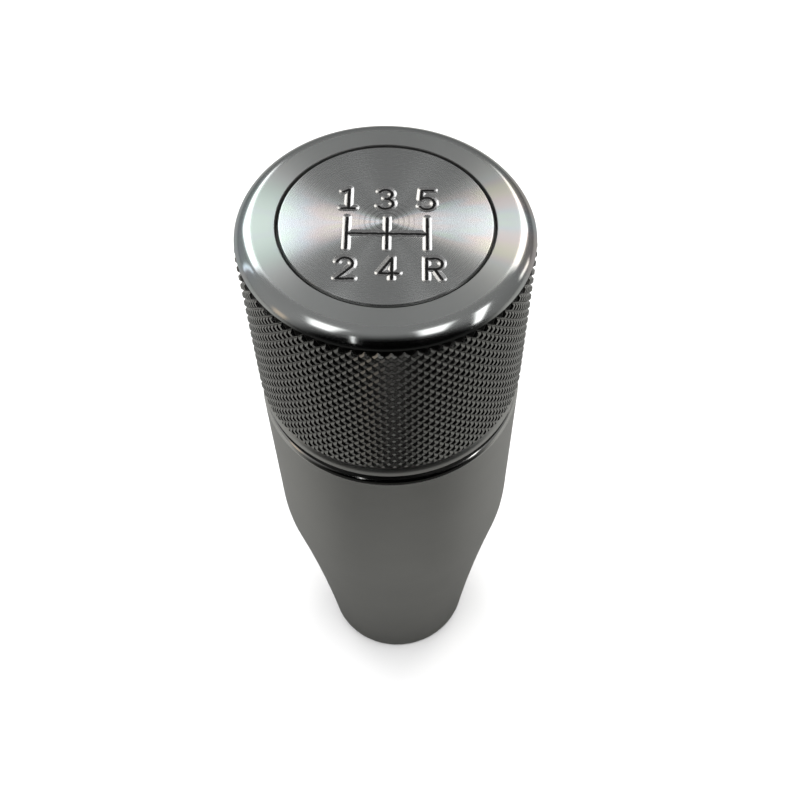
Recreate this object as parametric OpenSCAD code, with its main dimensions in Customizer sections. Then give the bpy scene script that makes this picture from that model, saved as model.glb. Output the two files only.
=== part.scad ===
// Gear shift knob, turned from bar, with a diamond-knurled grip and an inset pattern disc.
// The origin is the centre of the foot. +Z runs up the axis and -Y faces the driver.

/* [Body] */
// Diameter over the tips of the knurl
knob_d = 35; // [33:0.5:38]
// Height from the foot to the top face
knob_h = 100; // [92:1:115]
// Diameter of the smooth body below the groove
body_d = 35; // [33:0.5:38]
// Radius of the rounded edge of the top ring
rim_r = 2.3; // [1.2:0.1:3]
// Distance from the top face down to the start of the shoulder
shoulder_drop = 55.1; // [45:0.1:60]
// Radius of the shoulder blend
shoulder_r = 36; // [20:1:60]
// Slope of the taper where it leaves the shoulder, in degrees
taper_deg = 9.2; // [8.5:0.1:10.5]
// Diameter at the foot
foot_d = 24.4; // [23:0.2:27]
// Radius of the edge at the foot
foot_edge_r = 1.2; // [0.5:0.1:1.6]

/* [Knurl] */
// Distance from the top face down to the knurl
knurl_start = 1.6; // [1.4:0.1:4]
// Length of the knurled band along the axis
knurl_len = 24.9; // [15:0.1:25.5]
// Diamonds round the band
knurl_count = 76; // [60:4:80]
// Height of one diamond, fitted to a whole number of rows
knurl_pitch = 1.5; // [1.45:0.05:2.5]
// Depth of the grooves between the diamonds
knurl_depth = 0.5; // [0.3:0.05:0.7]

/* [Groove] */
// Width of the plain bead between the knurl and the groove
bead_w = 1.6; // [0.8:0.05:2]
// How far the bead lies below the tips of the knurl
bead_drop = 0.2; // [0.1:0.05:0.3]
// Width of the bevel on the lower corner of the bead
bead_bevel = 0.2; // [0.05:0.05:0.4]
// Width of the relief groove, with its rounded lower edge
groove_w = 2; // [1.6:0.1:3]
// Depth of the relief groove
groove_depth = 0.65; // [0.4:0.05:1]
// Radius of the rounded lower edge of the groove
groove_edge_r = 1.2; // [0.9:0.1:1.5]

/* [Pattern disc] */
// Diameter of the disc
disc_d = 24.7; // [20:0.1:27]
// Thickness of the disc
disc_t = 1.6; // [1:0.1:4]
// Gap round the disc
disc_gap = 0.3; // [0.1:0.05:0.6]
// Width of the bevel on the edge of the disc
disc_bevel = 0.3; // [0.1:0.05:0.6]

/* [Thread insert] */
// Nominal diameter of the lever thread
thread_d = 10; // [8:1:12]
// Pitch of the lever thread
thread_pitch = 1.5; // [1:0.25:2]
// Length of the insert, with its flange
insert_len = 26; // [15:1:35]
// Outer diameter of the barrel of the insert
insert_d = 15; // [14:0.5:17]
// Outer diameter of the flange of the insert
flange_d = 18.4; // [17.6:0.2:19.6]
// Thickness of the flange
flange_t = 2; // [1.5:0.25:4]
// Depth of the flange below the foot
insert_sink = 0.4; // [0.2:0.1:1]
// Radial clearance round the insert
insert_clear = 0.03; // [0.01:0.01:0.1]
// Width of the bevels at the ends of the threaded bore
mouth_bevel = 0.9; // [0.3:0.1:0.9]
// Room above the insert for the end of the lever
lever_room = 8; // [4:1:15]
// Radial clearance round the lever in that room
lever_clear = 0.25; // [0.1:0.05:0.5]
// Angle of the drill point at the end of the bore, in degrees
drill_deg = 118; // [90:1:140]

/* [Hidden] */
$fn = 180;
// Cutting tools reach this far past the faces that they open
cut_over = 1;

top_r = knob_d / 2;
bead_r = top_r - bead_drop;
body_r = body_d / 2;
foot_r = foot_d / 2;

knurl_top_z = knob_h - knurl_start;
knurl_end_z = knurl_top_z - knurl_len;
bead_end_z = knurl_end_z - bead_w;
groove_end_z = bead_end_z - groove_w;
groove_floor_r = min(bead_r, body_r) - groove_depth;
shoulder_z = knob_h - shoulder_drop;

// The shoulder blend ends here, at the slope of the taper
blend_z = shoulder_z - shoulder_r * sin(taper_deg);
blend_r = body_r - shoulder_r * (1 - cos(taper_deg));

// The taper is a hollow arc, tangent to the blend above and to the edge radius at the foot
function foot_slope(z) = 2 * atan((blend_r - foot_r) / (blend_z - z)) - taper_deg;
foot_deg = foot_slope(foot_edge_r * (1 - sin(foot_slope(foot_edge_r))));
foot_z = foot_edge_r * (1 - sin(foot_deg));
foot_centre_r = foot_r - foot_edge_r * cos(foot_deg);
taper_chord = norm([blend_r - foot_r, blend_z - foot_z]);
taper_arc_r = taper_chord / (2 * sin((taper_deg - foot_deg) / 2));

// Length of one side of the long arcs
arc_side = 0.8;
function arc_sides(r) = ceil(2 * PI * r / arc_side);

// The knurl is a net of half diamonds. Its end rows lap into the ring and the bead.
knurl_lap = 0.3;
knurl_cols = 2 * knurl_count;
knurl_rows = round((knurl_len + 2 * knurl_lap) / (knurl_pitch / 2));
knurl_step = (knurl_len + 2 * knurl_lap) / knurl_rows;
knurl_root_r = top_r - knurl_depth;
// The end rows and the core lie this far below the bottom of the grooves
lap_depth = 0.15;
core_depth = 0.4;
knurl_lap_r = knurl_root_r - lap_depth;
knurl_core_r = knurl_root_r - core_depth;
// The inner wall of the band lies this deep in the core
band_depth = 0.8;
knurl_inner_r = knurl_core_r - band_depth;

recess_r = disc_d / 2 + disc_gap;
tap_r = (thread_d - thread_pitch) / 2;
mouth_r = tap_r + mouth_bevel;
barrel_hole_r = insert_d / 2 + insert_clear;
flange_hole_r = flange_d / 2 + insert_clear;
flange_top_z = insert_sink + flange_t;
insert_top_z = insert_sink + insert_len;
lever_hole_r = thread_d / 2 + lever_clear;
lever_hole_z = insert_top_z + lever_room;
drill_point = lever_hole_r / tan(drill_deg / 2);

// Top ring with its large rounded edge
module ring_section() {
    difference() {
        translate([0, knurl_top_z])
            square([top_r, knurl_start]);
        translate([top_r - rim_r, knob_h - rim_r])
            difference() {
                square(rim_r + cut_over);
                circle(rim_r);
            }
    }
}

// Bar for everything below the ring: core of the knurled band, bead, and the body at full width
// down to the foot
module bar_section() {
    polygon([
        [0, 0],
        [body_r, 0],
        [body_r, bead_end_z],
        [bead_r - bead_bevel, bead_end_z],
        [bead_r, bead_end_z + bead_bevel],
        [bead_r, knurl_end_z],
        [knurl_core_r, knurl_end_z],
        [knurl_core_r, knurl_top_z],
        [0, knurl_top_z]
    ]);
}

// What is turned off for the relief groove, down to its rounded lower edge
module groove_cut() {
    difference() {
        translate([groove_floor_r, groove_end_z])
            square([body_r, groove_w]);
        translate([body_r - groove_edge_r, groove_end_z])
            circle(groove_edge_r);
    }
}

// What is turned off at the shoulder, outside a convex arc
module shoulder_cut() {
    difference() {
        translate([foot_r, blend_z])
            square([body_r, shoulder_z - blend_z]);
        translate([body_r - shoulder_r, shoulder_z])
            circle(shoulder_r, $fn = arc_sides(shoulder_r));
    }
}

// What is turned off along the taper, up to a slightly hollow arc
module taper_cut() {
    intersection() {
        translate([0, foot_z])
            square([foot_r + body_r, blend_z - foot_z]);
        translate([foot_r + taper_arc_r * cos(foot_deg), foot_z - taper_arc_r * sin(foot_deg)])
            circle(taper_arc_r, $fn = arc_sides(taper_arc_r));
    }
}

// What is turned off round the edge of the foot
module foot_cut() {
    difference() {
        translate([foot_centre_r, 0])
            square([foot_r + body_r, foot_z]);
        translate([foot_centre_r, foot_edge_r])
            circle(foot_edge_r);
    }
}

// Tips and groove crossings alternate along every row and every column of the net
function is_tip(row, col) = (row + col) % 2 == 0;
function is_end(row) = row == 0 || row == knurl_rows;
function net_r(row, col) = is_end(row) ? knurl_lap_r : is_tip(row, col) ? top_r : knurl_root_r;
function net_z(row) = knurl_top_z + knurl_lap - row * knurl_step;
function ring_point(r, col, z) =
    [r * cos(col * 360 / knurl_cols), r * sin(col * 360 / knurl_cols), z];
function net_index(row, col) = row * knurl_cols + col % knurl_cols;
// Each cell of the net is folded along the groove that crosses it
function net_cell(row, col) =
    let (
        a = net_index(row, col),
        b = net_index(row, col + 1),
        c = net_index(row + 1, col + 1),
        d = net_index(row + 1, col)
    )
    is_tip(row, col) ? [[a, b, d], [b, c, d]] : [[a, b, c], [a, c, d]];

// Band of diamonds, closed by a plain wall that lies inside the core
module knurl_band() {
    cols = [0:knurl_cols - 1];
    net_points = [
        for (row = [0:knurl_rows], col = cols)
            ring_point(net_r(row, col), col, net_z(row))
    ];
    wall_points = [
        for (row = [0, knurl_rows], col = cols)
            ring_point(knurl_inner_r, col, net_z(row))
    ];
    net_faces = [
        for (row = [0:knurl_rows - 1], col = cols)
            each net_cell(row, col)
    ];
    end_row = net_index(knurl_rows, 0);
    wall_top = len(net_points);
    wall_end = wall_top + knurl_cols;
    wall_faces = [
        for (col = cols)
            let (next = (col + 1) % knurl_cols)
            each [
                [wall_top + col, wall_top + next, next, col],
                [wall_top + next, wall_top + col, wall_end + col, wall_end + next],
                [wall_end + next, wall_end + col, end_row + col, end_row + next]
            ]
    ];
    polyhedron(concat(net_points, wall_points), concat(net_faces, wall_faces));
}

// Seat of the pattern disc in the top ring
module disc_recess() {
    translate([0, 0, knob_h - disc_t])
        cylinder(r = recess_r, h = disc_t + cut_over);
}

// Counterbore, barrel hole and room for the end of the lever, drilled from the foot
module insert_hole() {
    translate([0, 0, -cut_over])
        cylinder(r = flange_hole_r, h = flange_top_z + cut_over);
    cylinder(r = barrel_hole_r, h = insert_top_z);
    cylinder(r = lever_hole_r, h = lever_hole_z);
    translate([0, 0, lever_hole_z])
        cylinder(r1 = lever_hole_r, r2 = 0, h = drill_point);
}

// One turned piece: ring, knurled grip, bead, relief groove, body, shoulder, taper and foot
module knob_body() {
    color("#8c8c8a") {
        difference() {
            rotate_extrude()
                difference() {
                    union() {
                        ring_section();
                        bar_section();
                    }
                    groove_cut();
                    shoulder_cut();
                    taper_cut();
                    foot_cut();
                }
            disc_recess();
            insert_hole();
        }
        knurl_band();
    }
}

// Disc with a bevelled edge, flush with the ring
module pattern_disc() {
    color("#c4c5c6")
        translate([0, 0, knob_h - disc_t]) {
            cylinder(d = disc_d, h = disc_t - disc_bevel);
            translate([0, 0, disc_t - disc_bevel])
                cylinder(r1 = disc_d / 2, r2 = disc_d / 2 - disc_bevel, h = disc_bevel);
        }
}

// Flanged bush, tapped right through for the lever
module thread_insert() {
    color("#6f7072")
        translate([0, 0, insert_sink])
            difference() {
                union() {
                    cylinder(d = flange_d, h = flange_t);
                    cylinder(d = insert_d, h = insert_len);
                }
                translate([0, 0, -cut_over])
                    cylinder(r = tap_r, h = insert_len + 2 * cut_over);
                cylinder(r1 = mouth_r, r2 = tap_r, h = mouth_bevel);
                translate([0, 0, insert_len - mouth_bevel])
                    cylinder(r1 = tap_r, r2 = mouth_r, h = mouth_bevel);
            }
}

knob_body();
pattern_disc();
thread_insert();
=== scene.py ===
from collections import namedtuple
from math import acos, asin, atan, atan2, ceil, cos, degrees, hypot, pi, radians, sin, tan

import bmesh
import bpy
import numpy as np
from mathutils import Matrix, Vector


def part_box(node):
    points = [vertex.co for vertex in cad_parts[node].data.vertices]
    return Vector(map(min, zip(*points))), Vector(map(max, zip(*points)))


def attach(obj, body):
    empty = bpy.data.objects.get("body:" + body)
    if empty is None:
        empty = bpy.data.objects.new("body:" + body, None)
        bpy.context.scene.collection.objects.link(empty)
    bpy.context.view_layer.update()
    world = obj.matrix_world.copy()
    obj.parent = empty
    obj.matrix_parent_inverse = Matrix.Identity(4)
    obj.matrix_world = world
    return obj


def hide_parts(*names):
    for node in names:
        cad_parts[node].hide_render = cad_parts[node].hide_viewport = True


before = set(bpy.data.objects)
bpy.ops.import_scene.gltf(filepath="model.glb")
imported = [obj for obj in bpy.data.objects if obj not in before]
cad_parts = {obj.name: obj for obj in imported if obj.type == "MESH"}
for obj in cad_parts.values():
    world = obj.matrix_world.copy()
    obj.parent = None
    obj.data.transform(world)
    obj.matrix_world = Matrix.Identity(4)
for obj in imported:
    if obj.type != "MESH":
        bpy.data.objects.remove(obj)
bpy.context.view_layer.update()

MM = 0.001

# Sizes read from the frame
_, body_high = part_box("knob_body")
disc_low, disc_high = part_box("pattern_disc")
insert_low, insert_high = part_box("thread_insert")
TOP_Z = body_high.z / MM
TIP_R = body_high.x / MM
DISC_R = disc_high.x / MM
DISC_T = (disc_high.z - disc_low.z) / MM
INSERT_LOW_Z = insert_low.z / MM
INSERT_TOP_Z = insert_high.z / MM
FLANGE_R = insert_high.x / MM

# Sizes that the frame doesn't give, as in the part's source
RIM_R = 2.3
KNURL_TOP_Z = TOP_Z - 1.6
KNURL_END_Z = KNURL_TOP_Z - 24.9
KNURL_LAP = 0.3
KNURL_COLS = 152
KNURL_ROWS = 34
KNURL_DEPTH = 0.5
BEAD_R = TIP_R - 0.2
BEAD_END_Z = KNURL_END_Z - 1.6
BEAD_BEVEL = 0.2
BODY_R = TIP_R
GROOVE_FLOOR_R = BEAD_R - 0.65
GROOVE_END_Z = BEAD_END_Z - 2
GROOVE_EDGE_R = 1.2
SHOULDER_Z = TOP_Z - 55.1
SHOULDER_R = 36
TAPER_DEG = 9.2
FOOT_R = 12.2
FOOT_EDGE_R = 1.2
RECESS_R = DISC_R + 0.3
DISC_BEVEL = 0.3
FLANGE_T = 2
BARREL_R = 7.5
INSERT_CLEAR = 0.03
LEVER_HOLE_R = 5.25
LEVER_ROOM = 8
DRILL_DEG = 118
MOUTH_BEVEL = 0.9

# Finer shapes that the source leaves out: the bead's rounded top, the turn of its lower corner,
# which is round here, the slope up to which the groove's lower edge is polished, and edge breaks
BEAD_ARC_R = 1.5
BEAD_ARC_DEG = 35
BEAD_CORNER_DEG = 80
# Above this slope the groove's lower edge is painted near black, as shade
POLISHED_DEG = 48
EDGE_BREAK = 0.06

# Extra points on a straight stretch lie this far from its ends, or at this share of a short one
SUPPORT = 0.12
SUPPORT_SHARE = 0.3

# Points closer than this are one, and those this close to a plane lie on it
SAME_PLACE = 1e-6
ON_PLANE = 1e-5
# Keeps a division from having nothing under it
TINY = 1e-9

# Lathe sides, twice the knurl's columns
SIDES = 2 * KNURL_COLS
# Edges that turn by more than this are shaded sharp
SHARP_ANGLE = radians(24)

# Materials of the body and of the disc, by region
# EDGE is painted near black, as shade in the groove and under the ring
RING, EDGE, KNURL, BEAD, FLANK, SATIN, BORE = range(7)
TOP, PAINT, WALL = range(3)


# Profiles of (radius, height) points

def arc(centre_r, centre_z, radius, start_deg, end_deg, steps):
    """Points on an arc of the profile, from start to end."""
    found = []
    for i in range(steps + 1):
        turn = radians(start_deg + (end_deg - start_deg) * i / steps)
        found.append((centre_r + radius * cos(turn), centre_z + radius * sin(turn)))
    return found


def supported(start, end):
    """A straight stretch with extra points near both ends, which keep its shading straight."""
    length = hypot(end[0] - start[0], end[1] - start[1])
    share = min(SUPPORT / length, SUPPORT_SHARE)
    return [
        (start[0] + (end[0] - start[0]) * t, start[1] + (end[1] - start[1]) * t)
        for t in (0, share, 1 - share, 1)
    ]


def foot_arc():
    """Slope, height and arc of the taper at the foot, as the source works them out."""
    blend_z = SHOULDER_Z - SHOULDER_R * sin(radians(TAPER_DEG))
    blend_r = BODY_R - SHOULDER_R * (1 - cos(radians(TAPER_DEG)))

    def slope(z):
        return 2 * degrees(atan((blend_r - FOOT_R) / (blend_z - z))) - TAPER_DEG

    foot_deg = slope(FOOT_EDGE_R * (1 - sin(radians(slope(FOOT_EDGE_R)))))
    foot_z = FOOT_EDGE_R * (1 - sin(radians(foot_deg)))
    chord = hypot(blend_r - FOOT_R, blend_z - foot_z)
    radius = chord / (2 * sin(radians(TAPER_DEG - foot_deg) / 2))
    return foot_deg, foot_z, radius


def upper_profile():
    """From the ring's underside over the rim and the flat ring to the floor of the recess."""
    start_deg = degrees(asin((KNURL_TOP_Z + EDGE_BREAK - TOP_Z + RIM_R) / RIM_R))
    rim = arc(TIP_R - RIM_R, TOP_Z - RIM_R, RIM_R, start_deg, 90, steps=28)
    under = (rim[0][0] - EDGE_BREAK, KNURL_TOP_Z)
    floor_z = TOP_Z - DISC_T
    flat = supported((TIP_R - RIM_R, TOP_Z), (RECESS_R + EDGE_BREAK, TOP_Z))
    wall = supported((RECESS_R, TOP_Z - EDGE_BREAK), (RECESS_R, floor_z))
    return [
        ([under, rim[0]], KNURL),
        (rim, RING),
        (flat, RING),
        # The recess round the disc has the bores' darker metal, as painted shade
        ([flat[-1], wall[0]], BORE),
        (wall, BORE),
        ([wall[-1], (0, floor_z)], BORE),
    ]


def lower_profile():
    """From the top of the bead down the outside to the foot, and up through the bores."""
    bead_z = KNURL_END_Z - BEAD_ARC_R * sin(radians(BEAD_ARC_DEG))
    bead_top = arc(BEAD_R - BEAD_ARC_R, bead_z, BEAD_ARC_R, BEAD_ARC_DEG, 0, steps=8)
    corner = (BEAD_R - BEAD_BEVEL, BEAD_END_Z + BEAD_BEVEL)
    bead_low = arc(*corner, BEAD_BEVEL, 0, -BEAD_CORNER_DEG, steps=6)
    floor_top = (GROOVE_FLOOR_R, BEAD_END_Z)
    flank_deg = degrees(acos(1 - (BODY_R - GROOVE_FLOOR_R) / GROOVE_EDGE_R))
    centre = (BODY_R - GROOVE_EDGE_R, GROOVE_END_Z)
    shade_painted_flank = arc(*centre, GROOVE_EDGE_R, flank_deg, POLISHED_DEG, steps=6)
    flank = arc(*centre, GROOVE_EDGE_R, POLISHED_DEG, 0, steps=14)
    foot_deg, foot_z, taper_r = foot_arc()
    shoulder = arc(BODY_R - SHOULDER_R, SHOULDER_Z, SHOULDER_R, 0, -TAPER_DEG, steps=12)
    centre_r = FOOT_R + taper_r * cos(radians(foot_deg))
    centre_z = foot_z - taper_r * sin(radians(foot_deg))
    taper = arc(centre_r, centre_z, taper_r, 180 - TAPER_DEG, 180 - foot_deg, steps=16)
    foot_centre_r = FOOT_R - FOOT_EDGE_R * cos(radians(foot_deg))
    foot = arc(foot_centre_r, FOOT_EDGE_R, FOOT_EDGE_R, -foot_deg, -90, steps=12)
    flange_hole_r = FLANGE_R + INSERT_CLEAR
    barrel_hole_r = BARREL_R + INSERT_CLEAR
    flange_top_z = INSERT_LOW_Z + FLANGE_T
    lever_top_z = INSERT_TOP_Z + LEVER_ROOM
    tip_z = lever_top_z + LEVER_HOLE_R / tan(radians(DRILL_DEG / 2))
    under = supported((foot_centre_r, 0), (flange_hole_r + EDGE_BREAK, 0))
    bores = [
        (flange_hole_r, EDGE_BREAK),
        (flange_hole_r, flange_top_z),
        (barrel_hole_r, flange_top_z),
        (barrel_hole_r, INSERT_TOP_Z),
        (LEVER_HOLE_R, INSERT_TOP_Z),
        (LEVER_HOLE_R, lever_top_z),
        (0, tip_z),
    ]
    return [
        (bead_top, BEAD),
        (supported(bead_top[-1], bead_low[0]), BEAD),
        # From the bead's lower corner to the top of the groove's edge the metal is painted near
        # black, as shade in the groove
        (bead_low, EDGE),
        ([bead_low[-1], floor_top], EDGE),
        (supported(floor_top, shade_painted_flank[0]), EDGE),
        (shade_painted_flank, EDGE),
        (flank, FLANK),
        (supported(flank[-1], (BODY_R, SHOULDER_Z)), SATIN),
        (shoulder, SATIN),
        (taper, SATIN),
        (foot, SATIN),
        (under, SATIN),
        ([under[-1], bores[0]], BORE),
        (bores, BORE),
    ]


# Mesh building

def ring_of(bm, radius, z, sides):
    """Vertices of one ring, or a single one on the axis."""
    if radius < SAME_PLACE:
        return [bm.verts.new((0, 0, z))]
    turns = [2 * pi * i / sides for i in range(sides)]
    return [bm.verts.new((radius * cos(t), radius * sin(t), z)) for t in turns]


def skin(bm, low, high, material):
    """Faces between two rings of as many vertices, or between a ring and a point."""
    count = max(len(low), len(high))
    for i in range(count):
        j = (i + 1) % count
        corners = [low[i % len(low)], low[j % len(low)], high[j % len(high)], high[i % len(high)]]
        face = bm.faces.new(list(dict.fromkeys(corners)))
        face.material_index = material
        face.smooth = True


def lathe(bm, stretches, sides=SIDES):
    """Turns the stretches of a profile, each with its material. Gives the first and last ring."""
    first = last = None
    at = None
    for points, material in stretches:
        for radius, z in points:
            if at is not None and hypot(radius - at[0], z - at[1]) < SAME_PLACE:
                continue
            here = ring_of(bm, radius, z, sides)
            if last is not None:
                skin(bm, last, here, material)
            first = first or here
            last = here
            at = (radius, z)
    return first, last


def zip_loops(bm, one, other, material):
    """Triangles between two closed loops round the axis that have different numbers of vertices."""
    def by_turn(loop):
        return sorted(((atan2(v.co.y, v.co.x), v) for v in loop), key=lambda e: e[0])

    a, b = by_turn(one), by_turn(other)
    i = j = 0
    while i < len(a) or j < len(b):
        next_a = a[(i + 1) % len(a)][0] + 2 * pi * ((i + 1) // len(a))
        next_b = b[(j + 1) % len(b)][0] + 2 * pi * ((j + 1) // len(b))
        if j >= len(b) or (i < len(a) and next_a <= next_b):
            corners = [a[i % len(a)][1], a[(i + 1) % len(a)][1], b[j % len(b)][1]]
            i += 1
        else:
            corners = [a[i % len(a)][1], b[(j + 1) % len(b)][1], b[j % len(b)][1]]
            j += 1
        face = bm.faces.new(corners)
        face.material_index = material
        face.smooth = True


def finished(bm, name, materials):
    """Turns a closed bmesh in millimetres into a scene object in metres."""
    bmesh.ops.recalc_face_normals(bm, faces=bm.faces)
    for edge in bm.edges:
        if len(edge.link_faces) == 2 and edge.calc_face_angle() > SHARP_ANGLE:
            edge.smooth = False
    bmesh.ops.scale(bm, vec=(MM, MM, MM), verts=bm.verts)
    mesh = bpy.data.meshes.new(name)
    bm.to_mesh(mesh)
    bm.free()
    for material in materials:
        mesh.materials.append(material)
    made = bpy.data.objects.new(name, mesh)
    bpy.context.scene.collection.objects.link(made)
    return made


# Knurl

# Share of a diamond's half width, and of the knurl's depth, from the groove to the tip
DIAMOND_STEPS = [(1.0, 0.42), (0.93, 0.43), (0.48, 0.95), (0.37, 1.0)]
# This many rows of the net under the ring are painted near black, as shade under its overhang
DARK_ROWS = 1.1
# Over this height the diamonds run out at both ends of the band
RUN_OUT = 0.9


def knurl_radius(share, z):
    """Radius of the knurl where share of its depth stands, lower at the two ends of the band."""
    end = min(KNURL_TOP_Z - z, z - KNURL_END_Z) / RUN_OUT
    rise = min(max(end, 0.0), 1.0)
    return TIP_R - KNURL_DEPTH + KNURL_DEPTH * share * rise


def knurl_band(bm):
    """Diamonds with slightly flattened tips, on the net of the part's source."""
    step_z = (KNURL_TOP_Z - KNURL_END_Z + 2 * KNURL_LAP) / KNURL_ROWS
    step_a = 2 * pi / KNURL_COLS
    first_row = KNURL_LAP / step_z
    last_row = KNURL_ROWS - first_row
    shared = {}

    def vertex(col, row, share):
        """The one vertex at a place on the net."""
        key = (round(col * 1000) % (KNURL_COLS * 1000), round(row * 1000))
        if key not in shared:
            z = KNURL_TOP_Z + KNURL_LAP - row * step_z
            z = min(max(z, KNURL_END_Z), KNURL_TOP_Z)
            radius = knurl_radius(share, z)
            shared[key] = bm.verts.new((radius * cos(col * step_a), radius * sin(col * step_a), z))
        return shared[key]

    def facet(places):
        """One flat facet, left out where it lies wholly beyond the ends of the band."""
        rows = [row for _, row, _ in places]
        if max(rows) <= first_row or min(rows) >= last_row:
            return
        face = bm.faces.new([vertex(*place) for place in places])
        # The rows under the ring are painted near black, as shade
        under_ring = sum(rows) / len(rows) < first_row + DARK_ROWS
        face.material_index = EDGE if under_ring else KNURL

    corners = ((1, 0), (0, 1), (-1, 0), (0, -1))
    for row in range(KNURL_ROWS + 1):
        for col in range(row % 2, KNURL_COLS, 2):
            rings = [
                [(col + c * reach, row + r * reach, share) for c, r in corners]
                for reach, share in DIAMOND_STEPS
            ]
            for outer, inner in zip(rings, rings[1:]):
                for i in range(4):
                    j = (i + 1) % 4
                    facet([outer[i], outer[j], inner[j], inner[i]])
            tip = (col, row, 1.0)
            for i in range(4):
                facet([rings[-1][i], rings[-1][(i + 1) % 4], tip])


def band_end(bm, z):
    """Vertices of the knurl's open border at one end of the band."""
    found = set()
    for edge in bm.edges:
        if len(edge.link_faces) == 1 and all(abs(v.co.z - z) < ON_PLANE for v in edge.verts):
            found.update(edge.verts)
    return list(found)


def make_body(materials):
    """The turned body, with its knurled band joined to the ring and the bead."""
    bm = bmesh.new()
    knurl_band(bm)
    top_border = band_end(bm, KNURL_TOP_Z)
    low_border = band_end(bm, KNURL_END_Z)
    ring_edge, _ = lathe(bm, upper_profile())
    bead_edge, _ = lathe(bm, lower_profile())
    zip_loops(bm, top_border, ring_edge, KNURL)
    zip_loops(bm, low_border, bead_edge, BEAD)
    return finished(bm, "turned_knob_body", materials)


# Pattern disc, with its engraving cut by a round-nosed tool

# Half width and depth of the cuts, and half width of the level floor that holds the paint
CUT_HALF = 0.52
CUT_DEPTH = 0.09
PAINT_HALF = 0.17
# A face is painted where its corners lie this close to the centre line on average
PAINT_REACH = 0.85 * PAINT_HALF
# The shift pattern: its turn on the disc, the height of its symbols and the place of each one's
# middle, and the gate between them
PATTERN_TURN = radians(-2.4)
SYMBOL_H = 3.05
UPPER_Y = 3.6
LOWER_Y = -7.0
SYMBOLS = [
    ("1", -4.5, UPPER_Y),
    ("3", -0.15, UPPER_Y),
    ("5", 4.6, UPPER_Y),
    ("2", -4.5, LOWER_Y),
    ("4", 0.3, LOWER_Y),
    ("R", 5.3, LOWER_Y),
]
GATE_X = (-4.5, 0.05, 4.6)
GATE_TOP = 0.6
GATE_LOW = -4.1
GATE_BAR_Y = -1.8
# How far in and down the edge of the disc is rounded, inside its bevel
LIP_IN = 0.14
LIP_DROP = 0.025
# The fine net that carries the engraving: its mesh width and its reach on the disc
PATCH_STEP = 0.07
PATCH_HALF_X = 7.4
PATCH_LOW_Y = -9.6
PATCH_TOP_Y = 6.4


def curve(centre_x, centre_y, radius_x, radius_y, start_deg, end_deg, steps=14):
    """Points along part of an ellipse."""
    found = []
    for i in range(steps + 1):
        turn = radians(start_deg + (end_deg - start_deg) * i / steps)
        found.append((centre_x + radius_x * cos(turn), centre_y + radius_y * sin(turn)))
    return found


def symbol_strokes(symbol):
    """Centre lines of one symbol, of unit height, from its foot, with x from its middle."""
    if symbol == "1":
        return [[(-0.19, 0.86), (0.03, 1.0), (0.03, 0.0)], [(-0.22, 0.0), (0.26, 0.0)]]
    if symbol == "2":
        top = curve(0, 0.71, 0.28, 0.29, 165, -30)
        return [top + [(-0.29, 0.0), (0.31, 0.0)]]
    if symbol == "3":
        upper = curve(-0.02, 0.76, 0.25, 0.24, 150, -90)
        lower = curve(-0.02, 0.26, 0.29, 0.26, 90, -150)
        return [upper + lower[1:]]
    if symbol == "4":
        return [[(0.12, 0.0), (0.12, 1.0), (-0.33, 0.27), (0.35, 0.27)]]
    if symbol == "5":
        bowl = curve(-0.02, 0.31, 0.3, 0.31, 115, -145)
        return [[(0.24, 1.0), (-0.2, 1.0), (-0.24, 0.5)] + bowl]
    bowl = curve(0.06, 0.745, 0.25, 0.255, 90, -90)
    return [
        [(-0.26, 0.0), (-0.26, 1.0)] + bowl + [(-0.26, 0.49)],
        [(0.03, 0.49), (0.3, 0.0)],
    ]


def pattern_strokes():
    """All centre lines of the shift pattern, in millimetres on the disc."""
    lines = [[(x, GATE_TOP), (x, GATE_LOW)] for x in GATE_X]
    lines.append([(GATE_X[0], GATE_BAR_Y), (GATE_X[-1], GATE_BAR_Y)])
    for symbol, centre_x, centre_y in SYMBOLS:
        foot_y = centre_y - SYMBOL_H / 2
        for stroke in symbol_strokes(symbol):
            lines.append([(centre_x + x * SYMBOL_H, foot_y + y * SYMBOL_H) for x, y in stroke])
    turn = Matrix.Rotation(PATTERN_TURN, 2)
    return [[(turn @ Vector(point)).to_tuple() for point in line] for line in lines]


def stroke_distance(points, lines):
    """Distance from each point to the nearest centre line, and the direction away from it."""
    best = np.full(len(points), np.inf)
    away = np.zeros((len(points), 2))
    for line in lines:
        for start, end in zip(line, line[1:]):
            a, d = np.array(start), np.array(end) - np.array(start)
            t = np.clip(((points - a) @ d) / max(d @ d, TINY), 0, 1)
            off = points - (a + t[:, None] * d)
            length = np.hypot(off[:, 0], off[:, 1])
            nearer = length < best
            best[nearer] = length[nearer]
            away[nearer] = off[nearer] / np.maximum(length[nearer], TINY)[:, None]
    return best, away


def cut_drop(distance):
    """Depth of the round-nosed cut at a distance from its centre line, level under the paint."""
    nose = (CUT_HALF**2 + CUT_DEPTH**2) / (2 * CUT_DEPTH)
    d = np.clip(distance, PAINT_HALF, CUT_HALF)
    return np.sqrt(nose**2 - d**2) - np.sqrt(nose**2 - CUT_HALF**2)


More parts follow.
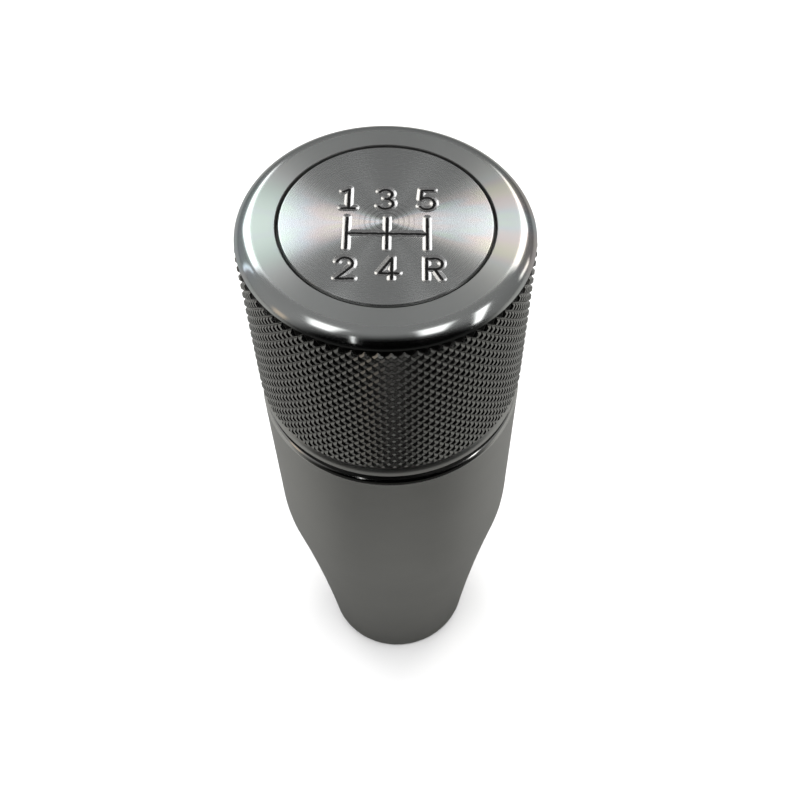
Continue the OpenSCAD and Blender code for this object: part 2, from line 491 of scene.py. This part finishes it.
def engraved_patch(bm):
    """The middle of the disc's top as a fine net, with points drawn to the edges of the cuts."""
    lines = pattern_strokes()
    count_x = 2 * round(PATCH_HALF_X / PATCH_STEP) + 1
    count_y = round((PATCH_TOP_Y - PATCH_LOW_Y) / PATCH_STEP) + 1
    xs = np.linspace(-PATCH_HALF_X, PATCH_HALF_X, count_x)
    ys = np.linspace(PATCH_LOW_Y, PATCH_TOP_Y, count_y)
    points = np.stack(np.meshgrid(xs, ys), -1).reshape(-1, 2)
    for level in (CUT_HALF, PAINT_HALF):
        distance, away = stroke_distance(points, lines)
        near = np.abs(distance - level) < PATCH_STEP / 2
        points[near] += away[near] * (level - distance[near])[:, None]
    distance, _ = stroke_distance(points, lines)
    z = TOP_Z - cut_drop(distance)
    verts = [bm.verts.new((p[0], p[1], h)) for p, h in zip(points, z)]
    for row in range(count_y - 1):
        for col in range(count_x - 1):
            i = row * count_x + col
            corners = [i, i + 1, i + 1 + count_x, i + count_x]
            face = bm.faces.new([verts[c] for c in corners])
            face.smooth = True
            face.material_index = cut_material(distance[corners].mean())
    return [vert for i, vert in enumerate(verts) if on_border(i, count_x, count_y)]


def cut_material(distance):
    """Material of a face of the disc's top at a mean distance from the nearest centre line."""
    if distance < PAINT_REACH:
        return PAINT
    if distance < CUT_HALF:
        return WALL
    return TOP


def on_border(index, count_x, count_y):
    """Whether a point of the net lies on its border."""
    row, col = divmod(index, count_x)
    return row in (0, count_y - 1) or col in (0, count_x - 1)


def make_disc(materials):
    """The inset disc with its bevelled edge and the engraved pattern."""
    bm = bmesh.new()
    low_z = TOP_Z - DISC_T
    lip = (DISC_R - LIP_IN, TOP_Z - LIP_DROP)
    bevel = (DISC_R, TOP_Z - DISC_BEVEL)
    stretches = [
        (supported((DISC_R - DISC_BEVEL, TOP_Z), lip), TOP),
        (supported(lip, bevel), TOP),
        (supported(bevel, (DISC_R, low_z)), TOP),
        ([(DISC_R, low_z), (0, low_z)], TOP),
    ]
    top_edge, _ = lathe(bm, stretches)
    border = engraved_patch(bm)
    zip_loops(bm, border, top_edge, TOP)
    return finished(bm, "engraved_pattern_disc", materials)


# Threaded insert

# The thread's pitch and its radii at the root and the crest, and its sides
THREAD_PITCH = 1.5
THREAD_MAJOR_R = 5.0
THREAD_MINOR_R = 4.19
THREAD_SIDES = 96
# The thread is built with this many spare turns, of which these lie below, and is then trimmed
SPARE_TURNS = 3
TURNS_BELOW = 2
# Bevel on the insert's outer edges, and width of its lower face outside the ring to the thread
INSERT_EDGE = 0.25
INSERT_FACE = 1.6
# Places along one pitch, and how deep the thread is there
THREAD_FORM = [(0, 0), (0.125, 0), (0.25, 0), (0.41, 0.5), (0.5625, 1), (0.6875, 1), (0.84, 0.5)]


def thread_hole(bm, low_z, top_z):
    """The right-hand thread inside the insert, opened at both ends by its bevels."""
    depth = THREAD_MAJOR_R - THREAD_MINOR_R
    per_pitch = len(THREAD_FORM)
    turns = ceil((top_z - low_z) / THREAD_PITCH) + SPARE_TURNS
    columns = []
    for side in range(THREAD_SIDES):
        turn = 2 * pi * side / THREAD_SIDES
        column = []
        for k in range(turns * per_pitch):
            place, share = THREAD_FORM[k % per_pitch]
            z = low_z + THREAD_PITCH * (k // per_pitch - TURNS_BELOW + place + side / THREAD_SIDES)
            mouth = max(low_z + MOUTH_BEVEL - z, z - top_z + MOUTH_BEVEL)
            radius = max(THREAD_MINOR_R + depth * share, THREAD_MINOR_R + mouth)
            column.append(bm.verts.new((radius * cos(turn), radius * sin(turn), z)))
        columns.append(column)
    for side, column in enumerate(columns):
        shift = per_pitch if side == THREAD_SIDES - 1 else 0
        beside = columns[(side + 1) % THREAD_SIDES]
        for k in range(len(column) - 1 - shift):
            face = bm.faces.new([column[k], beside[k + shift], beside[k + 1 + shift], column[k + 1]])
            face.smooth = True
    for z, up in ((low_z, False), (top_z, True)):
        geometry = list(bm.verts) + list(bm.edges) + list(bm.faces)
        bmesh.ops.bisect_plane(
            bm, geom=geometry, dist=SAME_PLACE, plane_co=(0, 0, z), plane_no=(0, 0, 1),
            clear_outer=up, clear_inner=not up,
        )
    return [[v for v in bm.verts if abs(v.co.z - z) < ON_PLANE] for z in (low_z, top_z)]


def make_insert(materials):
    """The flanged steel bush with its thread."""
    bm = bmesh.new()
    low_end, top_end = thread_hole(bm, INSERT_LOW_Z, INSERT_TOP_Z)
    flange_top_z = INSERT_LOW_Z + FLANGE_T
    outside = [
        (FLANGE_R - INSERT_FACE, INSERT_LOW_Z),
        (FLANGE_R - INSERT_EDGE, INSERT_LOW_Z),
        (FLANGE_R, INSERT_LOW_Z + INSERT_EDGE),
        (FLANGE_R, flange_top_z),
        (BARREL_R, flange_top_z),
        (BARREL_R, INSERT_TOP_Z - INSERT_EDGE),
        (BARREL_R - INSERT_EDGE, INSERT_TOP_Z),
    ]
    low_edge, top_edge = lathe(bm, [(outside, 0)], THREAD_SIDES)
    zip_loops(bm, low_end, low_edge, 0)
    zip_loops(bm, top_end, top_edge, 0)
    return finished(bm, "threaded_steel_insert", materials)


# Materials

def nodes_of(name):
    """A new material, with its node tree and its shader."""
    material = bpy.data.materials.new(name)
    material.use_nodes = True
    tree = material.node_tree
    return material, tree, tree.nodes["Principled BSDF"]


def put(tree, socket, value):
    """Links a socket to an input, or sets the input to a plain value."""
    if isinstance(value, bpy.types.NodeSocket):
        tree.links.new(value, socket)
    else:
        socket.default_value = value


def calc(tree, operation, *values):
    """A math node on sockets or numbers."""
    node = tree.nodes.new("ShaderNodeMath")
    node.operation = operation
    for socket, value in zip(node.inputs, values):
        put(tree, socket, value)
    return node.outputs[0]


def mapped(tree, value, from_low, from_high, low, high, smooth=False):
    """A value brought from one range to another."""
    node = tree.nodes.new("ShaderNodeMapRange")
    if smooth:
        node.interpolation_type = "SMOOTHSTEP"
    put(tree, node.inputs["Value"], value)
    node.inputs["From Min"].default_value = from_low
    node.inputs["From Max"].default_value = from_high
    node.inputs["To Min"].default_value = low
    node.inputs["To Max"].default_value = high
    return node.outputs["Result"]


def noise(tree, vector, scale, detail=2.0, rough=0.5):
    """A noise texture read at a vector."""
    node = tree.nodes.new("ShaderNodeTexNoise")
    node.inputs["Scale"].default_value = scale
    node.inputs["Detail"].default_value = detail
    node.inputs["Roughness"].default_value = rough
    tree.links.new(vector, node.inputs["Vector"])
    return node.outputs["Fac"]


def ramp(tree, value, stops):
    """A colour ramp with (place, colour) stops."""
    node = tree.nodes.new("ShaderNodeValToRGB")
    elements = node.color_ramp.elements
    while len(elements) < len(stops):
        elements.new(0.5)
    for element, (place, colour) in zip(elements, stops):
        element.position = place
        element.color = (*colour, 1)
    tree.links.new(value, node.inputs["Fac"])
    return node.outputs["Color"]


def mixed(tree, factor, one, other, blend="MIX"):
    """Two colours mixed, or blended in another way."""
    node = tree.nodes.new("ShaderNodeMix")
    node.data_type = "RGBA"
    node.blend_type = blend
    put(tree, node.inputs["Factor"], factor)
    put(tree, node.inputs["A"], one)
    put(tree, node.inputs["B"], other)
    return node.outputs["Result"]


def multiplied(tree, one, other):
    """The product of two colours."""
    return mixed(tree, 1.0, one, other, "MULTIPLY")


def flat_length(tree, x, y):
    """Length of a vector from its two parts."""
    squares = [calc(tree, "MULTIPLY", part, part) for part in (x, y)]
    return calc(tree, "SQRT", calc(tree, "ADD", *squares))


def bump(tree, height, depth_um):
    """A normal for a height of 1 that stands for a depth in micrometres."""
    node = tree.nodes.new("ShaderNodeBump")
    node.inputs["Distance"].default_value = depth_um * 1e-6
    tree.links.new(height, node.inputs["Height"])
    return node.outputs[0]


def lathe_space(tree):
    """Place in the part, distance from the axis, turn round it, and a vector for marks round it."""
    place = tree.nodes.new("ShaderNodeTexCoord").outputs["Object"]
    split = tree.nodes.new("ShaderNodeSeparateXYZ")
    tree.links.new(place, split.inputs[0])
    x, y, z = split.outputs
    length = flat_length(tree, x, y)
    turn = calc(tree, "ARCTAN2", y, x)
    across = tree.nodes.new("ShaderNodeCombineXYZ")
    put(tree, across.inputs["X"], length)
    put(tree, across.inputs["Y"], z)
    return place, length, turn, across.outputs[0]


# Noise cells to a metre, in the turning marks and in the cloudy tint of the metal
MARK_SCALE = 9000
CLOUD_SCALE = 160
# Most noise values lie between these
NOISE_RANGE = (0.3, 0.7)
# The metal's colour and roughness vary by these either way
TINT_SPREAD = 0.015
ROUGH_SPREAD = 0.02
# Painted pastel sheen, the light split by the finest turning marks, from warm to cool
SHEEN = [
    (0.30, (1.0, 0.97, 0.85)),
    (0.42, (1.0, 0.90, 0.92)),
    (0.54, (0.88, 0.93, 1.0)),
    (0.66, (0.88, 1.0, 0.95)),
]
# Noise cells of the tints, to a radian of turn and to a metre outwards
SHEEN_TURN = 3.2
SHEEN_LENGTH = 110
# The painted tints fade out between these sines of the turn, and show only left and right of the
# axis, in the bright sectors of the turned faces
SHEEN_FADE = (0.3, 0.6)
# Painted shade in the knurl's valleys ends between these shares of its depth
VALLEY_SHADE_END = (0.4, 0.6)
# Painted rings of shade round the centre of the disc: pitch, reach of the full ones and of the last
# in millimetres, the height of the wave at which they are darkest, and their shade there
RIPPLE_PITCH = 0.6
RIPPLE_FULL = 2
RIPPLE_REACH = 4.2
RIPPLE_PEAK = 0.8
RIPPLE_SHADE = 0.75
# Filler in the engraving: shades at two noise values, roughness and depth of its grain
FILLER_SHADES = [(0.3, (0.002,) * 3), (0.8, (0.008,) * 3)]
FILLER_ROUGHNESS = (0.5, 0.7)
FILLER_SPECULAR = 0.15
FILLER_GRAIN_UM = 4


def sheen(tree, length, turn):
    """Faint painted tints that run outwards, for the light that very fine turning marks split."""
    spokes = tree.nodes.new("ShaderNodeCombineXYZ")
    put(tree, spokes.inputs["X"], calc(tree, "MULTIPLY", calc(tree, "ABSOLUTE", turn), SHEEN_TURN))
    put(tree, spokes.inputs["Y"], calc(tree, "MULTIPLY", length, SHEEN_LENGTH))
    tints = ramp(tree, noise(tree, spokes.outputs[0], 1.0, 1.0), SHEEN)
    sine = calc(tree, "ABSOLUTE", calc(tree, "SINE", turn))
    beside = mapped(tree, sine, *SHEEN_FADE, 1, 0, smooth=True)
    return mixed(tree, beside, (1, 1, 1, 1), tints)


def valley_shade(tree, length, valley):
    """Painted shade in the valleys of the knurl, down to a share of the metal's own colour."""
    root, tip = (TIP_R - KNURL_DEPTH) * MM, TIP_R * MM
    depth = mapped(tree, length, root, tip, 0, 1)
    shade_start, shade_end = VALLEY_SHADE_END
    return ramp(tree, depth, [(shade_start, (valley,) * 3), (shade_end, (1, 1, 1))])


def painted_ripples(tree, length):
    """Darker rings of painted shade round the disc's centre, for ripples where the turning tool
    slowed down.
    """
    wave = calc(tree, "SINE", calc(tree, "MULTIPLY", length, 2 * pi / (RIPPLE_PITCH * MM)))
    fade = mapped(tree, length, RIPPLE_FULL * MM, RIPPLE_REACH * MM, 1, 0, smooth=True)
    depth = calc(tree, "MULTIPLY", wave, fade)
    return ramp(tree, depth, [(0.0, (1, 1, 1)), (RIPPLE_PEAK, (RIPPLE_SHADE,) * 3)])


def turned_metal(
    name, colour, roughness, anisotropy, mark_um, change=None, valley=None, top=False, rings=False
):
    """Metal with marks that run round the axis. mark_um is the depth of the marks in micrometres.

    change holds two distances from the axis and the roughness that is reached at the second one.
    valley is the painted shade at the bottom of the knurl. top is set for the faces that carry the
    painted sheen, and rings for the one with painted rings of shade round its centre.
    """
    material, tree, shader = nodes_of(name)
    place, length, turn, across = lathe_space(tree)
    marks = noise(tree, across, MARK_SCALE, detail=3.0, rough=0.6)
    cloud = noise(tree, place, CLOUD_SCALE, detail=3.0, rough=0.55)
    shader.inputs["Metallic"].default_value = 1.0
    shader.inputs["Anisotropic"].default_value = anisotropy
    # The tangent runs along the marks, and a quarter turn spreads the light across them
    shader.inputs["Anisotropic Rotation"].default_value = 0.25
    tangent = tree.nodes.new("ShaderNodeTangent")
    tangent.direction_type = "RADIAL"
    tangent.axis = "Z"
    tree.links.new(tangent.outputs[0], shader.inputs["Tangent"])
    dark = tuple((1 - TINT_SPREAD) * c for c in colour)
    light = tuple((1 + TINT_SPREAD) * c for c in colour)
    tint = ramp(tree, cloud, list(zip(NOISE_RANGE, (dark, light))))
    # Painted sheen on the turned tops
    if top:
        tint = multiplied(tree, tint, sheen(tree, length, turn))
    # Painted rings of shade round the centre of the disc
    if rings:
        tint = multiplied(tree, tint, painted_ripples(tree, length))
    # Painted shade darkens the valleys of the knurl
    if valley is not None:
        tint = multiplied(tree, tint, valley_shade(tree, length, valley))
    tree.links.new(tint, shader.inputs["Base Color"])
    smoothest, roughest = roughness - ROUGH_SPREAD, roughness + ROUGH_SPREAD
    rough = mapped(tree, marks, *NOISE_RANGE, smoothest, roughest)
    if change is not None:
        start_r, end_r, end_roughness = change
        gain = end_roughness - roughness
        step = mapped(tree, length, start_r * MM, end_r * MM, 0, gain, smooth=True)
        rough = calc(tree, "ADD", rough, step)
    tree.links.new(rough, shader.inputs["Roughness"])
    tree.links.new(bump(tree, marks, mark_um), shader.inputs["Normal"])
    return material


def filler(name):
    """Black filler at the bottom of the engraving."""
    material, tree, shader = nodes_of(name)
    place = tree.nodes.new("ShaderNodeTexCoord").outputs["Object"]
    speck = noise(tree, place, MARK_SCALE)
    rough = mapped(tree, speck, *NOISE_RANGE, *FILLER_ROUGHNESS)
    tree.links.new(ramp(tree, speck, FILLER_SHADES), shader.inputs["Base Color"])
    tree.links.new(rough, shader.inputs["Roughness"])
    shader.inputs["Specular IOR Level"].default_value = FILLER_SPECULAR
    tree.links.new(bump(tree, speck, FILLER_GRAIN_UM), shader.inputs["Normal"])
    return material


# Where the ring's polished rim and the body's satin below the groove start and are full, and the
# roughness there
RIM_POLISH = (TIP_R - 1.02 * RIM_R, TIP_R - 0.84 * RIM_R, 0.14)
FLANK_END = (BODY_R - 0.08, BODY_R - 0.01, 0.36)

# Name, colour, roughness, anisotropy and depth of the marks in micrometres
# The body is one piece of metal, and its regions' colours differ as painted light and shade: lighter
# on the bead and the polished flank, darker on the knurl, in the bores and in the recess round the
# disc
body_materials = [
    turned_metal("ring_turned", (0.7, 0.72, 0.71), 0.29, 0.8, 0.05, change=RIM_POLISH, top=True),
    # Near black, painted as shade in the groove and under the ring
    turned_metal("groove_shade_painted", (0.03, 0.03, 0.029), 0.4, 0.3, 0.1),
    turned_metal("knurl_rolled", (0.37, 0.37, 0.355), 0.24, 0.0, 0.2, valley=0.8),
    turned_metal("bead_turned", (0.62, 0.62, 0.6), 0.36, 0.5, 0.2),
    turned_metal("flank_polished", (0.72, 0.72, 0.7), 0.13, 0.2, 0.1, change=FLANK_END),
    turned_metal("body_satin", (0.5, 0.5, 0.485), 0.36, 0.55, 0.2),
    turned_metal("bore_drilled", (0.3, 0.3, 0.3), 0.45, 0.5, 1.0),
]
disc_materials = [
    turned_metal("disc_turned", (0.68, 0.695, 0.69), 0.27, 0.95, 0.02, top=True, rings=True),
    filler("black_filler"),
    # The disc's metal in a darker colour, as painted shade in the cuts
    turned_metal("engraved_wall", (0.56, 0.56, 0.56), 0.24, 0.0, 0.1),
]
insert_materials = [turned_metal("insert_machined", (0.42, 0.42, 0.43), 0.3, 0.5, 1.5)]

for made, node, slot in (
    (make_body(body_materials), "knob_body", "turned_metal"),
    (make_disc(disc_materials), "pattern_disc", "disc_metal"),
    (make_insert(insert_materials), "thread_insert", "insert_steel"),
):
    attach(made, "root")
    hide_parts(node)


# Camera, fitted to the photograph, whose optical axis lies right of the middle and a little below it

FRAME_PX = 800
AXIS_PX = (484.1, 419.2)
TOP_CENTRE_PX = (386.81, 221.51)
FOCAL_PX = 1034.4
SENSOR_MM = 36
CAMERA_DISTANCE = 120.44
CAMERA_ELEVATION = radians(45.838)
CAMERA_ROLL = radians(-1.378)


def place_camera():
    """Stands the camera so that the centre of the top face falls on its place in the picture."""
    back = Vector((0, -cos(CAMERA_ELEVATION), sin(CAMERA_ELEVATION)))
    forward = -back
    right = forward.cross(Vector((0, 0, 1))).normalized()
    up = right.cross(forward)
    looking = Matrix((right, -up, forward))
    ray = Vector((TOP_CENTRE_PX[0] - AXIS_PX[0], TOP_CENTRE_PX[1] - AXIS_PX[1], FOCAL_PX))
    swing = Vector((0, 0, 1)).rotation_difference(ray).to_matrix()
    to_camera = swing @ Matrix.Rotation(CAMERA_ROLL, 3, "Z") @ looking
    turn = to_camera.transposed() @ Matrix(((1, 0, 0), (0, -1, 0), (0, 0, -1)))
    data = bpy.data.cameras.new("camera")
    data.sensor_width = SENSOR_MM
    data.lens = FOCAL_PX * SENSOR_MM / FRAME_PX
    data.shift_x = (FRAME_PX / 2 - AXIS_PX[0]) / FRAME_PX
    data.shift_y = (AXIS_PX[1] - FRAME_PX / 2) / FRAME_PX
    data.clip_start = 0.01
    data.clip_end = 20
    made = bpy.data.objects.new("camera", data)
    place = Vector((0, 0, TOP_Z)) + CAMERA_DISTANCE * back
    made.matrix_world = Matrix.Translation(place * MM) @ turn.to_4x4()
    bpy.context.scene.collection.objects.link(made)
    bpy.context.scene.camera = made


# Studio: a room with soft boxes, a floor and the light over it

# Each soft box is a rectangle on a map of the sky, with overhead at its middle, +X to the right,
# +Y to the back and distances in degrees: its centre, half length, half width, turn, softness of
# the edges, radiance and colour
SoftBox = namedtuple("SoftBox", "name x y long wide turn soft radiance colour")
WHITE = (1.0, 1.0, 1.0)
COOL = (0.86, 0.94, 1.0)
WARM = (1.0, 0.97, 0.91)
WOOD = (1.0, 0.72, 0.45)
SOFT_BOXES = [
    SoftBox("left_overhead", -28.1, -12.5, 15, 6.5, 56, 3, 1.6, WHITE),
    SoftBox("right_overhead", 18.5, -16.8, 15, 6.5, 104, 2.5, 1.6, WHITE),
    SoftBox("right_window", 50.6, -20, 25, 4, -54, 1.5, 1.8, WHITE),
    SoftBox("right_low", 75, 23, 9, 5, 75, 3, 1.6, WARM),
    SoftBox("left_wood", -82.4, -22.1, 12, 7, 15, 4, 0.38, WOOD),
    SoftBox("left_strip", -24, -48, 17, 0.9, 74, 0.6, 1.8, WHITE),
    SoftBox("left_cool_strip", -70, 29, 20, 2, -10, 2, 1.2, COOL),
    SoftBox("back_left", -28, 44.5, 15, 11, 22, 3, 2.45, WHITE),
    SoftBox("back_right", 28, 42.5, 15, 10.5, -22, 3, 2.3, WARM),
]
# Keeps the map of the sky whole right overhead
NEAR_ZENITH = 1e-4
# Radiance of the room at two places from left to right, in degrees from overhead
ROOM_LEFT = (-60, 0.28)
ROOM_RIGHT = (80, 0.18)
# It is black in front of the first place and full behind the second, which lie nearer the front
# by FRONT_SLANT for each degree to the side. Towards the horizon at the back it falls to a share.
FRONT_EDGE = (-45, -5)
FRONT_SLANT = 0.2
BACK_EDGE = (40, 90)
BACK_SHARE = 0.6
FLOOR_HALF = 3.0
FLOOR_WHITE = (0.9, 0.9, 0.9, 1)
# Shades of the floor where the metal mirrors it, at distances from the axis in millimetres, in
# front of the knob and beside it, lower near the axis as a painted shadow round the foot
SHADE_REACH = 200
FRONT_SHADES = [(14, 0.15), (22, 0.18), (60, 0.19), (100, 0.01)]
SIDE_SHADES = [(16, 0.15), (30, 0.19), (50, 0.23), (120, 0.24)]
FLOOR_TINT = (1, 1, 0.97)
# The front shades reach up to the first sine of the turn and the side shades start at the second.
# Both sines rise by FRONT_WEDGE over these distances, so the front shades spread to the sides.
FRONT_SINES = (-0.92, -0.45)
FRONT_WEDGE = 0.35
WEDGE_REACH = (60, 110)
FLOOR_LIGHT_SIZE = 1.6
FLOOR_LIGHT_HEIGHT = 1.5
FLOOR_LIGHT_POWER = 37


def box_share(tree, sky, box):
    """How much of a soft box is seen in a direction, from 0 outside it to 1 inside."""
    inside = tree.nodes.new("ShaderNodeMapping")
    inside.vector_type = "TEXTURE"
    inside.inputs["Location"].default_value = (box.x, box.y, 0)
    inside.inputs["Rotation"].default_value = (0, 0, radians(box.turn))
    tree.links.new(sky, inside.inputs["Vector"])
    split = tree.nodes.new("ShaderNodeSeparateXYZ")
    tree.links.new(inside.outputs[0], split.inputs[0])
    shares = []
    for socket, half in ((split.outputs["X"], box.long), (split.outputs["Y"], box.wide)):
        off = calc(tree, "ABSOLUTE", socket)
        shares.append(mapped(tree, off, half - box.soft, half + box.soft, 1, 0, smooth=True))
    return calc(tree, "MULTIPLY", *shares)


def make_room():
    """White to the camera. The metal sees a grey room, black in front, with the soft boxes."""
    world = bpy.data.worlds.new("room")
    bpy.context.scene.world = world
    world.use_nodes = True
    tree = world.node_tree
    tree.nodes.clear()
    split = tree.nodes.new("ShaderNodeSeparateXYZ")
    tree.links.new(tree.nodes.new("ShaderNodeTexCoord").outputs["Generated"], split.inputs[0])
    x, y, z = split.outputs
    flat = flat_length(tree, x, y)
    from_zenith = calc(tree, "MULTIPLY", calc(tree, "ARCCOSINE", z), 180 / pi)
    spread = calc(tree, "DIVIDE", from_zenith, calc(tree, "MAXIMUM", flat, NEAR_ZENITH))
    sky_x = calc(tree, "MULTIPLY", x, spread)
    sky_y = calc(tree, "MULTIPLY", y, spread)
    sky = tree.nodes.new("ShaderNodeCombineXYZ")
    put(tree, sky.inputs["X"], sky_x)
    put(tree, sky.inputs["Y"], sky_y)
    side = mapped(tree, sky_x, ROOM_LEFT[0], ROOM_RIGHT[0], ROOM_LEFT[1], ROOM_RIGHT[1])
    ahead = calc(tree, "MULTIPLY_ADD", calc(tree, "ABSOLUTE", sky_x), FRONT_SLANT, sky_y)
    front = mapped(tree, ahead, *FRONT_EDGE, 0, 1, smooth=True)
    behind = mapped(tree, sky_y, *BACK_EDGE, 1, BACK_SHARE)
    light = calc(tree, "MULTIPLY", calc(tree, "MULTIPLY", side, front), behind)
    for box in SOFT_BOXES:
        total = tree.nodes.new("ShaderNodeVectorMath")
        total.operation = "MULTIPLY_ADD"
        total.label = box.name
        put(tree, total.inputs[0], box_share(tree, sky.outputs[0], box))
        total.inputs[1].default_value = [box.radiance * c for c in box.colour]
        put(tree, total.inputs[2], light)
        light = total.outputs[0]
    path = tree.nodes.new("ShaderNodeLightPath")
    seen = mixed(tree, path.outputs["Is Camera Ray"], light, (1, 1, 1, 1))
    glow = tree.nodes.new("ShaderNodeBackground")
    tree.links.new(seen, glow.inputs["Color"])
    out = tree.nodes.new("ShaderNodeOutputWorld")
    tree.links.new(glow.outputs[0], out.inputs["Surface"])


def mirrored_floor(tree):
    """Floor shade that the metal mirrors: darker in front of the knob, and a painted shadow round
    its foot.
    """
    _, length, turn, _ = lathe_space(tree)
    reach = calc(tree, "DIVIDE", length, SHADE_REACH * MM)
    shades = []
    for stops in (FRONT_SHADES, SIDE_SHADES):
        places = [(r / SHADE_REACH, tuple(shade * c for c in FLOOR_TINT)) for r, shade in stops]
        shades.append(ramp(tree, reach, places))
    start, end = WEDGE_REACH
    wedge = mapped(tree, length, start * MM, end * MM, 0, FRONT_WEDGE, smooth=True)
    ahead = calc(tree, "SUBTRACT", calc(tree, "SINE", turn), wedge)
    return mixed(tree, mapped(tree, ahead, *FRONT_SINES, 0, 1, smooth=True), *shades)


def make_floor():
    """A pale floor, which the metal mirrors in darker shades."""
    bm = bmesh.new()
    corners = ((-1, -1), (1, -1), (1, 1), (-1, 1))
    bm.faces.new([bm.verts.new((x * FLOOR_HALF, y * FLOOR_HALF, 0)) for x, y in corners])
    mesh = bpy.data.meshes.new("floor")
    bm.to_mesh(mesh)
    bm.free()
    material = bpy.data.materials.new("floor_paper")
    material.use_nodes = True
    tree = material.node_tree
    tree.nodes.clear()
    seen = tree.nodes.new("ShaderNodeBsdfDiffuse")
    seen.inputs["Color"].default_value = FLOOR_WHITE
    mirrored = tree.nodes.new("ShaderNodeBsdfDiffuse")
    tree.links.new(mirrored_floor(tree), mirrored.inputs["Color"])
    path = tree.nodes.new("ShaderNodeLightPath")
    mix = tree.nodes.new("ShaderNodeMixShader")
    out = tree.nodes.new("ShaderNodeOutputMaterial")
    tree.links.new(path.outputs["Is Camera Ray"], mix.inputs[0])
    tree.links.new(mirrored.outputs[0], mix.inputs[1])
    tree.links.new(seen.outputs[0], mix.inputs[2])
    tree.links.new(mix.outputs[0], out.inputs["Surface"])
    mesh.materials.append(material)
    floor = bpy.data.objects.new("floor", mesh)
    bpy.context.scene.collection.objects.link(floor)


def add_floor_light():
    """A wide light overhead that whitens the floor and isn't mirrored in the metal."""
    data = bpy.data.lights.new("floor_light", "AREA")
    data.size = FLOOR_LIGHT_SIZE
    data.energy = FLOOR_LIGHT_POWER
    made = bpy.data.objects.new("floor_light", data)
    made.location = (0, 0, FLOOR_LIGHT_HEIGHT)
    made.visible_camera = False
    made.visible_glossy = False
    bpy.context.scene.collection.objects.link(made)


place_camera()
make_room()
make_floor()
add_floor_light()
bpy.context.scene.view_settings.view_transform = "Standard"
